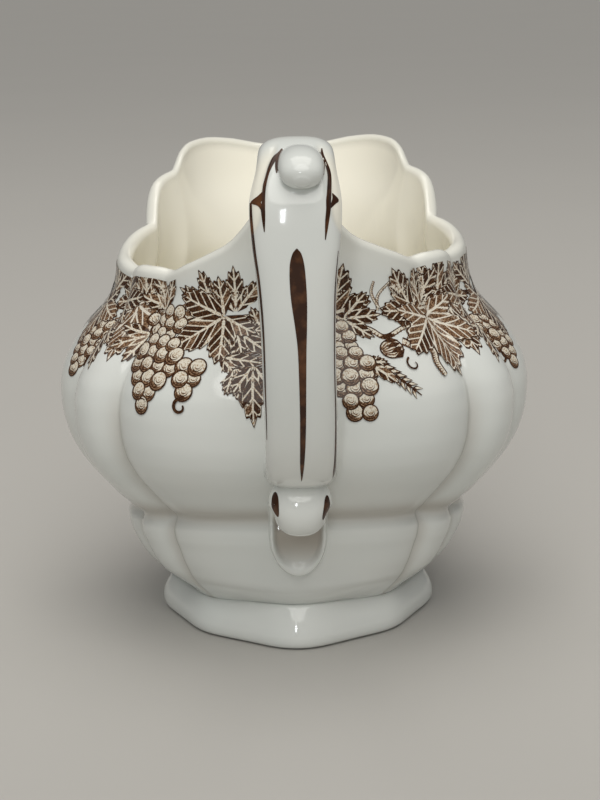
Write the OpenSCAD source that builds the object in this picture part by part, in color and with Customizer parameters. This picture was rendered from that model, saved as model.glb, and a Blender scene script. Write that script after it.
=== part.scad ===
// Porcelain cream jug: lobed body on a spreading foot, high pulled spout,
// strap handle with a thumb scroll, printed vine sprays and painted strokes.
// Millimetres. Z up, handle toward -Y, spout toward +Y, foot on z = 0.

/* [Overall size] */
// widest width of the body across X
body_width = 100.4; // [90:0.2:112]
// scale of all heights
height_scale = 1; // [0.9:0.01:1.1]

/* [Body] */
// wall of the body at the lip
wall = 3.4; // [2.6:0.1:4.5]
// depth of the flutes between the lobes, 1 = as designed
flute_depth = 1; // [0.4:0.05:1.6]
// how far the spout is pulled out past the neck
spout_reach = 24.5; // [14:0.5:32]
// how far the spout spreads to each side, degrees
spout_spread = 37; // [28:1:42]

/* [Foot] */
// height of the foot ring
foot_height = 7.6; // [5:0.1:10]
// radius of the foot between its points
foot_radius = 27; // [24:0.5:30]
// how far the points of the foot stand out
foot_point = 3.3; // [0:0.1:5]

/* [Handle] */
// outermost Y of the strap from the body axis
handle_reach = 73; // [66:0.5:80]
// width of the strap, 1 = as designed
strap_width = 1; // [0.8:0.05:1.2]
// thickness of the painted and printed layers
print_thick = 0.12; // [0.08:0.01:0.3]

/* [Hidden] */

y_shift = 7.5;              // puts the middle of the box on Y = 0
k = body_width / 100.4;     // plan scale
glaze = [0.95, 0.94, 0.90];
ink = [0.30, 0.17, 0.11];
scroll_at = [0.9, -50.6, 37.3];  // middle of the lower scroll, from the body axis
scroll_r = 6.0;             // its radius
scroll_half = 6.2;          // half its length along X
scroll_full = 0.82;         // how full its ends are, 1 = an ellipse
saddle_end = 1.4;           // t along the strap where it clears the lip
joint_flare = 0.9;          // how much the strap swells where it meets the body
neck_z = 77;                // above this the rows follow the lip

// z, side half width, rear depth, front depth, squareness, flute, spout
PROFILE = [
    [ 7.6, 28.0, 28.0, 28.6, 2.00, 0.4, 0.00],
    [ 9.5, 29.4, 29.2, 30.2, 2.02, 0.7, 0.00],
    [12.0, 31.1, 30.6, 31.9, 2.05, 0.9, 0.00],
    [14.0, 32.7, 32.0, 33.6, 2.08, 1.1, 0.00],
    [16.0, 34.1, 33.3, 35.1, 2.10, 1.3, 0.00],
    [18.5, 35.4, 34.5, 36.5, 2.10, 1.4, 0.00],
    [21.0, 36.4, 35.5, 37.6, 2.12, 1.5, 0.00],
    [23.2, 36.8, 35.9, 38.0, 2.14, 1.6, 0.00],
    [25.4, 36.2, 35.4, 37.6, 2.16, 1.8, 0.00],
    [28.0, 38.6, 37.8, 40.2, 2.18, 2.2, 0.00],
    [32.9, 42.9, 42.0, 44.6, 2.24, 2.6, 0.00],
    [38.0, 46.6, 45.6, 48.4, 2.28, 2.9, 0.00],
    [43.0, 48.9, 47.9, 50.8, 2.30, 3.1, 0.00],
    [48.0, 50.0, 49.0, 52.0, 2.30, 3.2, 0.00],
    [52.0, 50.2, 49.2, 52.2, 2.30, 3.2, 0.00],
    [56.0, 49.6, 48.7, 51.7, 2.28, 3.1, 0.00],
    [60.0, 47.8, 47.0, 50.2, 2.24, 2.9, 0.02],
    [64.0, 44.9, 44.1, 47.4, 2.20, 2.6, 0.06],
    [68.0, 41.2, 40.6, 44.0, 2.14, 2.3, 0.11],
    [72.0, 38.6, 38.2, 41.4, 2.10, 2.0, 0.17],
    [77.0, 37.4, 37.1, 40.0, 2.06, 1.7, 0.26],
    [84.0, 37.0, 37.3, 39.6, 2.04, 1.4, 0.45],
    [91.0, 37.0, 38.8, 39.6, 2.02, 1.2, 0.72],
    [99.0, 37.0, 41.0, 39.6, 2.00, 1.0, 1.00]];

// where the creases stand, degrees from the handle side: low on the body, at the lip
CREASE_LOW = [47, 68, 112, 134];
CREASE_TOP = [45, 67, 118, 140];
// how softly each of the eight lobes rolls into its creases
SOFT = [0.07, 0.2, 0.14, 0.2, 0.07, 0.2, 0.14, 0.2];
// how late each lobe rolls over, 1 = evenly from its middle
ROLL = [3.2, 1.3, 2.2, 1.3, 3.2, 1.3, 2.2, 1.3];

// height of the lip by angle from the handle side, the same on both sides
LIP = [
    [0, 97.2], [6, 96.0], [11, 93.0], [15, 90.0], [20, 87.0], [27, 84.8], [35, 82.7],
    [44.5, 80.7], [50, 81.2], [56, 81.2], [67, 79.7], [78, 80.6], [90, 81.3], [100, 82.2],
    [112, 83.5], [118, 84.1], [121, 86.3], [125, 89.7], [129, 92.0], [134, 93.1], [140, 93.9],
    [143, 95.1], [147, 97.3], [152, 98.8], [158, 99.2], [165, 98.5], [172, 97.0], [180, 95.8]];
lip_tilt = 1.6;             // the right side of the lip stands this much higher behind

// strap: x, y, z, half width, half thickness
STRAP = [
    [0.8, -38.6,  92.6, 6.6, 4.4],
    [0.9, -43.5,  98.0, 6.5, 4.1],
    [1.1, -50.0, 103.0, 6.5, 3.9],
    [1.2, -57.5, 105.6, 6.9, 3.8],
    [1.2, -64.0, 103.5, 7.3, 3.8],
    [1.0, -67.8,  98.4, 8.3, 3.7],
    [1.0, -69.2,  91.5, 8.0, 3.6],
    [1.0, -69.5,  84.0, 7.2, 3.6],
    [1.1, -69.0,  75.0, 6.8, 3.6],
    [1.2, -67.4,  66.5, 6.75, 3.6],
    [1.3, -64.9,  59.0, 6.75, 3.6],
    [1.3, -61.6,  52.4, 6.75, 3.6],
    [1.2, -57.2,  47.4, 6.7, 3.55],
    [1.1, -52.0,  44.8, 6.5, 3.5],
    [1.0, -46.6,  43.9, 6.3, 3.5]];

// thumb scroll: x, y, z, half width, half thickness
THUMB = [
    [1.2, -48.0, 102.6, 1.6, 0.6],
    [1.4, -53.5, 105.4, 3.0, 1.2],
    [1.7, -59.5, 106.3, 3.8, 1.9],
    [2.0, -65.0, 105.9, 4.0, 2.6],
    [2.1, -69.3, 104.9, 4.1, 2.9],
    [2.2, -72.2, 103.6, 3.5, 2.5],
    [2.2, -73.5, 102.8, 1.3, 1.0]];

// tongue under the lower scroll
root_low = 16.8;            // its tip
root_top = 35;
root_wide_z = 27;           // below this it narrows to the tip
root_half_width = 6.05;
root_x = 0.35;
root_edge = 0.3;            // thickness at its border

// painted strokes on the strap: t along it, x of the middle, half width
CENTRE_STROKE = [
    [6.12, 0.1, 0.1], [6.24, 0.1, 0.8], [6.5, 0.1, 1.3], [6.9, 0.2, 1.46], [7.3, 0.35, 1.4],
    [7.8, 0.55, 1.05], [8.3, 0.62, 0.76], [9.3, 0.5, 0.6], [10.4, 0.3, 0.52], [11.2, 0.12, 0.4],
    [11.8, 0.05, 0.16]];
THUMB_LEFT = [
    [3.72, -2.5, 0.15], [3.85, -2.75, 0.5], [3.98, -3.55, 0.75], [4.12, -4.3, 0.6], [4.4, -5.05, 0.34],
    [4.75, -5.65, 0.4], [5.1, -5.8, 0.42], [5.4, -5.7, 0.32], [5.72, -5.6, 0.1]];
THUMB_RIGHT = [
    [3.6, 4.7, 0.12], [3.78, 4.75, 0.3], [3.95, 5.1, 0.42], [4.2, 5.75, 0.42], [4.44, 6.05, 0.36],
    [4.84, 6.02, 0.4], [5.24, 5.85, 0.42], [5.53, 5.55, 0.34], [5.93, 5.2, 0.1]];
// start and end along the strap of the line on each edge, and its place round the section
EDGE_LEFT = [5.0, 10.6];
EDGE_RIGHT = [6.2, 12.6];
EDGE_AROUND = [14, 22, 30];

// dabs on the ends of the lower scroll, degrees: middle round from the front, half size
dab_lon = 50;
dab_half = [13, 34];
dab_lat_left = 20;          // height of the middle
dab_lat_right = 8;

// printed band: mean lower and upper edge
print_low = 48.0;
print_high = 74.6;

// ---------- small tools ----------
function clamp(t, a, b) = max(a, min(b, t));
function step(t) = let (u = clamp(t, 0, 1)) u * u * (3 - 2 * u);
function bell(t) = exp(-t * t);
function wrap(a) = a > 180 ? a - 360 : a;
function knot(t, T) = max([for (i = [0 : len(T) - 2]) if (i == 0 || T[i][0] <= t) i]);
function secant(T, i, c) = (T[i + 1][c] - T[i][c]) / (T[i + 1][0] - T[i][0]);
function slope(T, i, c) =
    i <= 0 ? secant(T, 0, c) :
    i >= len(T) - 1 ? secant(T, len(T) - 2, c) :
    let (a = secant(T, i - 1, c), b = secant(T, i, c)) a * b <= 0 ? 0 : 2 * a * b / (a + b);
// smooth curve through a table's knots that never overshoots them
function curve(t, T, c) =
    let (i = knot(t, T), h = T[i + 1][0] - T[i][0], u = clamp((t - T[i][0]) / h, 0, 1))
    T[i][c] * (2 * u * u * u - 3 * u * u + 1) + T[i + 1][c] * (3 * u * u - 2 * u * u * u)
    + h * slope(T, i, c) * (u * u * u - 2 * u * u + u)
    + h * slope(T, i + 1, c) * (u * u * u - u * u);
// point at t along a list of points (Catmull-Rom)
function along(P, t) =
    let (n = len(P), i = clamp(floor(t), 0, n - 2), u = t - i,
         a = i > 0 ? P[i - 1] : 2 * P[0] - P[1], b = P[i], c = P[i + 1],
         d = i < n - 2 ? P[i + 2] : 2 * P[n - 1] - P[n - 2])
    0.5 * (2 * b + (c - a) * u + (2 * a - 5 * b + 4 * c - d) * u * u
           + (3 * b - a - 3 * c + d) * u * u * u);

// ---------- foot outline ----------
function foot_r(a) = let (q = abs(wrap(a)))
    foot_radius * k + foot_point * (bell(q / 18) + bell((q - 98) / 18) + bell((180 - q) / 20))
    + 0.7 * (bell((q - 48) / 12) + bell((q - 137) / 11));

// ---------- body surface ----------
// edges of the eight lobes at height z, as angles from the handle side
function lobe_edges(z) =
    let (m = step((z - 58) / 24), a = CREASE_LOW * (1 - m) + CREASE_TOP * m)
    [-a[0], a[0], a[1], a[2], a[3], 360 - a[3], 360 - a[2], 360 - a[1], 360 - a[0]];
// 0 in the middle of lobe j, 1 in the crease beside it
function crease(j, s) = let (b = sin(180 * s), w = SOFT[j])
    pow(max(1 - (sqrt(b * b + w * w) - w) / (sqrt(1 + w * w) - w), 0), ROLL[j]);
// a place on the body: lobe j, s from 0 to 1 across it
function body_angle(j, s, z) = let (e = lobe_edges(z)) e[j] + s * (e[j + 1] - e[j]);
// the waist stands higher under the handle and the spout than at the sides
function waist_shift(a, z) =
    4.2 * pow(cos(a), 2) * step((z - 9) / 13) * (1 - step((z - 32) / 18));
function plain_r(a, z) =
    let (h = z - waist_shift(a, z), w = curve(h, PROFILE, 1), n = curve(h, PROFILE, 4),
         d = curve(h, PROFILE, cos(a) >= 0 ? 2 : 3))
    pow(pow(abs(sin(a)) / w, n) + pow(abs(cos(a)) / d, n), -1 / n) * k;
function spout_r(a, z) =
    spout_reach * curve(z, PROFILE, 6) * bell((180 - abs(wrap(a))) / spout_spread);
function body_r(j, s, z, flute = 1) =
    let (a = body_angle(j, s, z), m = step((z - foot_height) / 7),
         r = plain_r(a, z) + spout_r(a, z) - flute * flute_depth * curve(z, PROFILE, 5) * crease(j, s))
    m * r + (1 - m) * (foot_r(a) - 2.3 + 0.75 * (z - foot_height));
function at(r, a, z) = [r * sin(a), y_shift - r * cos(a), z * height_scale];

// ---------- body mesh ----------
WIDE = [0, 0.03, 0.08, 0.14, 0.22, 0.32, 0.42, 0.5, 0.58, 0.68, 0.78, 0.86, 0.92, 0.97];
MID = [0, 0.06, 0.16, 0.32, 0.5, 0.68, 0.84, 0.94];
SLIM = [0, 0.12, 0.3, 0.5, 0.7, 0.88];
ACROSS = [WIDE, SLIM, MID, SLIM, WIDE, SLIM, MID, SLIM];
COLS = [for (j = [0 : 7]) for (s = ACROSS[j]) [j, s]];
OUTER_Z = [7.6, 8.4, 9.6, 11, 12.6, 14.4, 16.3, 18.3, 20.4, 22.2, 23.8, 25.2, 26.6, 28, 29.6,
           31.6, 34.2, 37.4, 41, 44.8, 48.6, 52.2, 55.6, 58.8, 61.6, 64.2, 66.6, 68.8, 70.8, 73, 75, 77];
INNER_Z = [74, 70.5, 67, 63, 58.5, 53, 47, 41, 35.5, 30.5];
UP = 6;        // rows between the neck and the lip
FLOOR = [[26, 4.6], [21.5, 5.8], [17.6, 8.2], [14.8, 11.6], [13.0, 16.0], [12.2, 21.0]];

function lip_at(a) = curve(abs(a), LIP, 1) + lip_tilt * sin(a) * (1 + cos(a)) / 2;
function lip_z(c) = lip_at(wrap(body_angle(c[0], c[1], 90)));
function outer_pt(c, z, inset = 0, flute = 1) =
    at(body_r(c[0], c[1], z, flute) - inset, body_angle(c[0], c[1], z), z);
function body_row(n) = [for (c = COLS) let (top = lip_z(c) - wall / 2)
    n < len(OUTER_Z) ? outer_pt(c, OUTER_Z[n]) :
    n < len(OUTER_Z) + UP - 1 ?
        outer_pt(c, neck_z + (top - neck_z) * (n - len(OUTER_Z) + 1) / UP) :
    n < len(OUTER_Z) + UP + 4 ?
        let (t = 45 * (n - len(OUTER_Z) - UP + 1), f = 1 - 0.25 * n / 80,
             r = body_r(c[0], c[1], top, f), w = wall / 2)
        at(r - w + w * cos(t), body_angle(c[0], c[1], top), top + w * sin(t)) :
    n < len(OUTER_Z) + 2 * UP + 3 ?
        outer_pt(c, top + (neck_z - top) * (n - len(OUTER_Z) - UP - 3) / UP, wall, 0.8) :
    let (i = n - len(OUTER_Z) - 2 * UP - 3)
    i < len(INNER_Z) ? outer_pt(c, INNER_Z[i], wall + 0.4, 0.7) :
    let (q = FLOOR[i - len(INNER_Z)]) outer_pt(c, q[0], q[1], 0.5)];
BODY_ROWS = len(OUTER_Z) + 2 * UP + 3 + len(INNER_Z) + len(FLOOR);

// faces of a tube of rings, closed at both ends by a point
function tube_faces(rings, n, first, last) = concat(
    [for (i = [0 : rings - 2]) for (j = [0 : n - 1]) each
        let (a = i * n + j, b = i * n + (j + 1) % n, c = a + n, d = b + n) [[a, c, b], [b, c, d]]],
    [for (j = [0 : n - 1]) [first, j, (j + 1) % n]],
    [for (j = [0 : n - 1]) let (o = (rings - 1) * n) [last, o + (j + 1) % n, o + j]]);

module body() {
    rows = [for (i = [0 : BODY_ROWS - 1]) each body_row(i)];
    ends = [[0, y_shift, foot_height * height_scale], [0, y_shift, 12.0 * height_scale]];
    color(glaze) polyhedron(concat(rows, ends),
        tube_faces(BODY_ROWS, len(COLS), len(rows), len(rows) + 1), convexity = 8);
}

// ---------- foot ring ----------
// inset from the outline, height
FOOT = [[1.7, 0], [0.6, 0.35], [0.1, 1.2], [0, 2.4], [0.3, 3.8], [1.0, 5.2], [1.8, 6.5],
        [2.3, 7.6], [6.4, 7.6], [6.0, 5.5], [5.2, 2.2], [4.6, 0]];
module foot_ring() {
    n = 72;
    pts = [for (f = FOOT) for (i = [0 : n - 1]) let (a = i * 360 / n)
        at(foot_r(a) - f[0], a, f[1] * foot_height / 7.6)];
    m = len(FOOT);
    color(glaze) polyhedron(pts, [for (i = [0 : m - 1]) for (j = [0 : n - 1]) each
        let (a = i * n + j, b = i * n + (j + 1) % n, c = ((i + 1) % m) * n + j,
             d = ((i + 1) % m) * n + (j + 1) % n) [[a, c, b], [b, c, d]]], convexity = 6);
}

// ---------- strap handle and scrolls ----------
// one ring of a strap: rounded box section across the path
function path_dir(P, t) = let (a = along(P, max(t - 0.02, 0)), b = along(P, min(t + 0.02, len(P) - 1)),
    d = [b[1] - a[1], b[2] - a[2]]) d / norm(d);
function reach(q) = [q[0], q[1] - (handle_reach - 73) * max(-46 - q[1], 0) / 24, q[2],
                     q[3] * strap_width, q[4]];
// x across, h out of the outer face; e = how square the section is
function strap_pt(P, t, ca, sa, grow = 0, e = 2.8) =
    let (q = reach(along(P, t)), d = path_dir(P, t),
         m = pow(pow(abs(ca), e) + pow(abs(sa), e), -1 / e),
         h = (q[4] + grow) * m * sa, x = (q[3] + grow) * m * ca)
    [q[0] + x, y_shift + q[1] + h * d[1], (q[2] - h * d[0]) * height_scale];
function strap_ring(P, t, n, e = 2.8, grow = 0) =
    [for (j = [0 : n - 1]) strap_pt(P, t, cos(360 * j / n), -sin(360 * j / n), grow, e)];
// a point of the outer face at x across the strap
function face_pt(P, t, x, lift, e = 2.8) =
    let (q = reach(along(P, t)), d = path_dir(P, t),
         h = q[4] * pow(max(1 - pow(min(abs(x) / q[3], 1), e), 0.0001), 1 / e) + lift)
    [q[0] + x, y_shift + q[1] + h * d[1], (q[2] - h * d[0]) * height_scale];

// a point moved along Y onto the rear of the body
function lay(p) =
    let (x = p[0], z = p[2] / height_scale, a0 = asin(x / 40), a1 = asin(x / rear_r(a0, z)))
    [x, y_shift - rear_r(a1, z) * cos(a1), p[2]];
function rear_r(a, z) = body_r(0, a / (2 * lobe_edges(z)[1]) + 0.5, z);

// draws the upper end of the handle down into the lip, which falls away on both sides
function saddle(p, t) =
    let (top = lip_at(asin(clamp(p[0] / 39, -1, 1))) - 0.6, over = max(p[2] / height_scale - top, 0))
    [p[0], p[1], p[2] - over * (1 - step(t / saddle_end)) * height_scale];

module sweep(P, n, per, e, laid = false) {
    m = (len(P) - 1) * per;
    rings = [for (i = [0 : m]) each
        let (g = laid ? joint_flare * (exp(-i / 1.5) + exp(-(m - i) / 1.5)) : 0,
             plain = strap_ring(P, i / per, n, e, g),
             r = laid ? [for (p = plain) saddle(p, i / per)] : plain)
        (laid && (i == 0 || i == m)) ? [for (p = r) lay(p)] : r];
    mid = [for (q = [along(P, 0), along(P, len(P) - 1)])
        [q[0], y_shift + reach(q)[1], q[2] * height_scale]];
    ends = [for (p = mid) laid ? lay(p) : p];
    color(glaze) polyhedron(concat(rings, ends),
        tube_faces(m + 1, n, (m + 1) * n, (m + 1) * n + 1), convexity = 6);
}
module handle_strap() { sweep(STRAP, 24, 3, 2.8, true); }
module thumb_scroll() { sweep(THUMB, 20, 3, 2.2); }

// a sine or cosine, filled out for the scroll's section
function full(c) = sign(c) * pow(abs(c), scroll_full);
// volute at the lower end of the strap: round about X
module lower_scroll() {
    color(glaze)
        translate([scroll_at[0], y_shift + scroll_at[1], scroll_at[2] * height_scale])
        rotate([0, 90, 0]) rotate_extrude($fn = 64)
        polygon([for (i = [-12 : 12]) [scroll_r * full(cos(i * 7.5)), scroll_half * full(sin(i * 7.5))]]);
}

// two grids of points, one over the other, made into a closed skin
module skin(lo, hi, c) {
    m = len(lo);
    n = len(lo[0]);
    o = m * n;
    pts = concat([for (r = lo) each r], [for (r = hi) each r]);
    grid = [for (i = [0 : m - 2]) for (j = [0 : n - 2]) each
        let (a = i * n + j) [[a, a + n, a + 1], [a + 1, a + n, a + n + 1]]];
    top = [for (f = grid) [f[0] + o, f[2] + o, f[1] + o]];
    rim = concat([for (j = [0 : n - 1]) j], [for (i = [1 : m - 1]) i * n + n - 1],
        [for (j = [n - 2 : -1 : 0]) (m - 1) * n + j], [for (i = [m - 2 : -1 : 1]) i * n]);
    side = [for (i = [0 : len(rim) - 1]) each let (a = rim[i], b = rim[(i + 1) % len(rim)])
        [[a, b, a + o], [b, b + o, a + o]]];
    color(c) polyhedron(pts, concat(grid, top, side), convexity = 6);
}

// tongue that spreads the lower end of the handle over the waist: a dish with a raised lip
function root_down(z) = max(root_wide_z - z, 0) / (root_wide_z - root_low + 0.05);
function root_half(z) = root_half_width * sqrt(max(1 - pow(root_down(z), 2), 0.004));
function root_lift(u, z) =
    let (x = u * root_half(z) / root_half_width, low = step((22 - z) / 5),
         e = max(1 - norm([x, root_down(z)]), 0) * root_half_width,
         inside = step((e - 0.75) / (1.1 + 2.2 * low)),
         lip = 1.15 + 0.75 * low, dish = 0.35 + 5.8 * step((z - 24.5) / 10))
    max(root_edge, step(e / 0.62) * (lip * (1 - inside) + dish * inside));
function root_pt(u, z, lift) = let (p = lay([root_x + u * root_half(z), 0, z]))
    [p[0], p[1] - lift, z * height_scale];
module handle_root() {
    zs = [root_low, 17.1, 17.6, 18.2, 19.2, 20.6, 22.2, 24, 26, 28.2, 30.4, 32.6, root_top];
    us = [-1, -0.9, -0.78, -0.5, 0, 0.5, 0.78, 0.9, 1];
    skin([for (z = zs) [for (u = us) root_pt(u, z, 0)]],
         [for (z = zs) [for (u = us) root_pt(u, z, root_lift(u, z))]], glaze);
}

// ---------- printed sprays ----------
// a garland-edged patch of the shoulder between two angles
function spray_z(a, t) = let (
    lo = print_low + 3.2 * sin(a * 9 + 40) + 2 * sin(a * 17),
    hi = print_high + 1.4 * sin(a * 11 + 100))
    lo + (hi - lo) * t;
function lobe_of(a, z) = let (e = lobe_edges(z), b = a < e[0] ? a + 360 : a)
    max([for (j = [0 : 7]) if (e[j] <= b) j]);
function print_pt(a, z, lift) = let (e = lobe_edges(z), b = a < e[0] ? a + 360 : a,
    j = lobe_of(a, z), s = (b - e[j]) / (e[j + 1] - e[j])) at(body_r(j, s, z) + lift, b, z);
module spray(from, to, n) {
    as = [for (i = [0 : n]) from + (to - from) * i / n];
    rows = [0 : 1 / 12 : 1.001];
    skin([for (t = rows) [for (a = as) print_pt(a, spray_z(a, t), 0.01)]],
         [for (t = rows) [for (a = as) print_pt(a, spray_z(a, t), print_thick)]], ink);
}
module vine_rear_left() { spray(-45, -1, 18); }
module vine_rear_right() { spray(1, 45, 18); }
module vine_side_left() { spray(-110, -48, 24); }
module vine_side_right() { spray(48, 110, 24); }
module vine_front_left() { spray(-174, -114, 24); }
module vine_front_right() { spray(114, 174, 24); }

// ---------- painted strokes ----------
// a brush stroke on the strap: t along it, x of its middle, half width
module stroke(S, grow = 0.02) {
    rows = [for (i = [0 : (len(S) - 1) * 3]) along(S, i / 3)];
    us = [-1, -0.5, 0, 0.5, 1];
    skin([for (q = rows) [for (u = us) face_pt(STRAP, q[0], q[1] + u * q[2], grow)]],
         [for (q = rows) [for (u = us) face_pt(STRAP, q[0], q[1] + u * q[2], grow + print_thick)]],
         ink);
}
module centre_stroke() { stroke(CENTRE_STROKE); }
module thumb_line_left() { stroke(THUMB_LEFT); }
module thumb_line_right() { stroke(THUMB_RIGHT); }
// a line along the rounded edge of the strap, at a fixed place round its section
module edge_line(side, span, n) {
    ts = [for (i = [0 : n]) span[0] + (span[1] - span[0]) * i / n];
    as = [for (b = EDGE_AROUND) side > 0 ? b : 180 - b];
    g = [for (t = ts) [for (a = as) strap_pt(STRAP, t, cos(a), sin(a), 0.02)]];
    h = [for (t = ts) [for (a = as) strap_pt(STRAP, t, cos(a), sin(a), 0.02 + print_thick)]];
    if (side > 0) skin(h, g, ink); else skin(g, h, ink);
}
module edge_line_left() { edge_line(-1, EDGE_LEFT, 20); }
module edge_line_right() { edge_line(1, EDGE_RIGHT, 20); }

// a dab of colour on the end of the lower scroll: r 0 to 1 and angle a about its middle
function dab_pt(side, mid, r, a, lift) =
    let (lon = dab_lon + dab_half[0] * r * cos(a), lat = mid + dab_half[1] * r * sin(a),
         q = scroll_r + lift)
    [scroll_at[0] + side * (scroll_half + lift) * full(sin(lon)),
     y_shift + scroll_at[1] - q * full(cos(lon)) * cos(lat),
     (scroll_at[2] + q * full(cos(lon)) * sin(lat)) * height_scale];
module scroll_dot(side, mid) {
    n = 16;
    as = [for (i = [0 : n - 1]) 360 * i / n];
    pts = [for (lift = [0.02, 0.02 + print_thick]) each
        concat([for (a = as) dab_pt(side, mid, 1, a, lift)], [dab_pt(side, mid, 0, 0, lift)])];
    f = [for (i = [0 : n - 1]) each let (b = (i + 1) % n)
        [[n, i, b], [2 * n + 1, n + 1 + b, n + 1 + i], [i, i + n + 1, b], [b, i + n + 1, b + n + 1]]];
    color(ink) polyhedron(pts, side > 0 ? f : [for (q = f) [q[0], q[2], q[1]]], convexity = 4);
}
module scroll_dot_left() { scroll_dot(-1, dab_lat_left); }
module scroll_dot_right() { scroll_dot(1, dab_lat_right); }

body();
foot_ring();
handle_strap();
thumb_scroll();
lower_scroll();
handle_root();
vine_rear_left();
vine_rear_right();
vine_side_left();
vine_side_right();
vine_front_left();
vine_front_right();
centre_stroke();
thumb_line_left();
thumb_line_right();
edge_line_left();
edge_line_right();
scroll_dot_left();
scroll_dot_right();
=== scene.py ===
"""Porcelain cream jug: smooth glazed meshes, a printed vine garland and brushwork.

Lengths are in millimetres until a mesh is made. The jug's surfaces are worked out by the
same formulas as in the CAD model, at a finer step, so that every piece lies where its
CAD node does. Angles go round the body from the handle (0) to the spout (180), + to the right.
"""

import math

import bpy
import numpy as np
from mathutils import Matrix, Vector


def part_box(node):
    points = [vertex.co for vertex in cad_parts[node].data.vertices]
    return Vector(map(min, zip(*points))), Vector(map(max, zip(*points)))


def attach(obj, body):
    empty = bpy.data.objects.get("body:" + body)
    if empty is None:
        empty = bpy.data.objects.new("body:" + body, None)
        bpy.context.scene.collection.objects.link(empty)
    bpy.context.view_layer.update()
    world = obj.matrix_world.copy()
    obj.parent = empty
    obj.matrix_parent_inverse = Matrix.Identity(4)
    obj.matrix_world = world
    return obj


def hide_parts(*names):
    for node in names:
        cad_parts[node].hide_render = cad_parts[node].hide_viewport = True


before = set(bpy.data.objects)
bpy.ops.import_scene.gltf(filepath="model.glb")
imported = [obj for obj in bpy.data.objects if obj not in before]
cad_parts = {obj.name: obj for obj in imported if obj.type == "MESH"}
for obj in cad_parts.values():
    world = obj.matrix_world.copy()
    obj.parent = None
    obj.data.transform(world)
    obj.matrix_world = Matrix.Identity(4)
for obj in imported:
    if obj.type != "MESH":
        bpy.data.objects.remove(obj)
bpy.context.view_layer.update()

MM = 0.001
rng = np.random.default_rng(7)


# ---------------------------------------------------------------- shape of the jug

WALL = 3.4
WAIST_Z, NECK_Z = 27.0, 77.0
WAIST_RISE = 4.2  # how much higher the waist stands behind and in front than at the sides
SPOUT_REACH, SPOUT_SPREAD = 24.3, 37
FOOT_HEIGHT, FOOT_RADIUS = 7.6, 27.0
FOOT_POINT, FOOT_SWELL = 3.3, 0.7  # how far its four points stand out, and the swells between them
FOOT_COLLAR = 2.3                  # how far its upper edge is drawn in from its outline
COVE_IN, COVE_UP = 2.4, 1.8  # cove above the foot, behind and in front: how deep, how far up
foot_low, foot_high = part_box("foot_ring")
Y_SHIFT = (foot_low[1] + foot_high[1]) / 2 / MM

# z, side half width, rear depth, front depth, squareness, flute, spout
PROFILE = np.array([
    [7.6, 28, 28, 28.6, 2, 0.4, 0],
    [9.5, 29.4, 29.2, 30.2, 2.02, 0.7, 0],
    [12, 31.1, 30.6, 31.9, 2.05, 0.9, 0],
    [14, 32.7, 32, 33.6, 2.08, 1.1, 0],
    [16, 34.1, 33.3, 35.1, 2.1, 1.3, 0],
    [18.5, 35.4, 34.5, 36.5, 2.1, 1.4, 0],
    [21, 36.4, 35.5, 37.6, 2.12, 1.5, 0],
    [23.2, 36.8, 35.9, 38, 2.14, 1.6, 0],
    [25.4, 36.2, 35.4, 37.6, 2.16, 1.8, 0],
    [28, 38.6, 37.8, 40.2, 2.18, 2.2, 0],
    [32.9, 42.9, 42, 44.6, 2.24, 2.6, 0],
    [38, 46.6, 45.6, 48.4, 2.28, 2.9, 0],
    [43, 48.9, 47.9, 50.8, 2.3, 3.1, 0],
    [48, 50, 49, 52, 2.3, 3.2, 0],
    [52, 50.2, 49.2, 52.2, 2.3, 3.2, 0],
    [56, 49.6, 48.7, 51.7, 2.28, 3.1, 0],
    [60, 47.8, 47, 50.2, 2.24, 2.9, 0.02],
    [64, 44.9, 44.1, 47.4, 2.2, 2.6, 0.06],
    [68, 41.2, 40.6, 44, 2.14, 2.3, 0.11],
    [72, 38.6, 38.2, 41.4, 2.1, 2, 0.17],
    [77, 37.4, 37.1, 40, 2.06, 1.7, 0.26],
    [84, 37, 37.3, 39.6, 2.04, 1.4, 0.45],
    [91, 37, 38.8, 39.6, 2.02, 1.2, 0.72],
    [99, 37, 41, 39.6, 2, 1, 1]])
# angles of the creases on one side, on the belly and at the neck
CREASE_LOW = np.array([47.0, 68.0, 112.0, 134.0])
CREASE_TOP = np.array([45.0, 67.0, 118.0, 140.0])
# for each of the eight lobes: how round its crease is, how flat its middle is, its width in mm
SOFT = np.array([0.07, 0.2, 0.14, 0.2, 0.07, 0.2, 0.14, 0.2])
ROLL = np.array([3.2, 1.3, 2.2, 1.3, 3.2, 1.3, 2.2, 1.3])
LOBE_WIDTH = np.array([94.0, 21.0, 44.0, 22.0, 92.0, 22.0, 44.0, 21.0])
GROOVE_DEPTH, GROOVE_WIDTH = 0.5, 0.9

# height of the lip by angle, the same on both sides
LIP = np.array([
    [0, 97.2], [6, 96.0], [11, 93.0], [15, 90.0], [20, 87.0], [27, 84.8], [35, 82.7],
    [44.5, 80.7], [50, 81.2], [56, 81.2], [67, 79.7], [78, 80.6], [90, 81.3], [100, 82.2],
    [112, 83.5], [118, 84.1], [121, 86.3], [125, 89.7], [129, 92.0], [134, 93.1], [140, 93.9],
    [143, 95.1], [147, 97.3], [152, 98.8], [158, 99.2], [165, 98.5], [172, 97.0], [180, 95.8]])
LIP_TILT = 1.6

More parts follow.
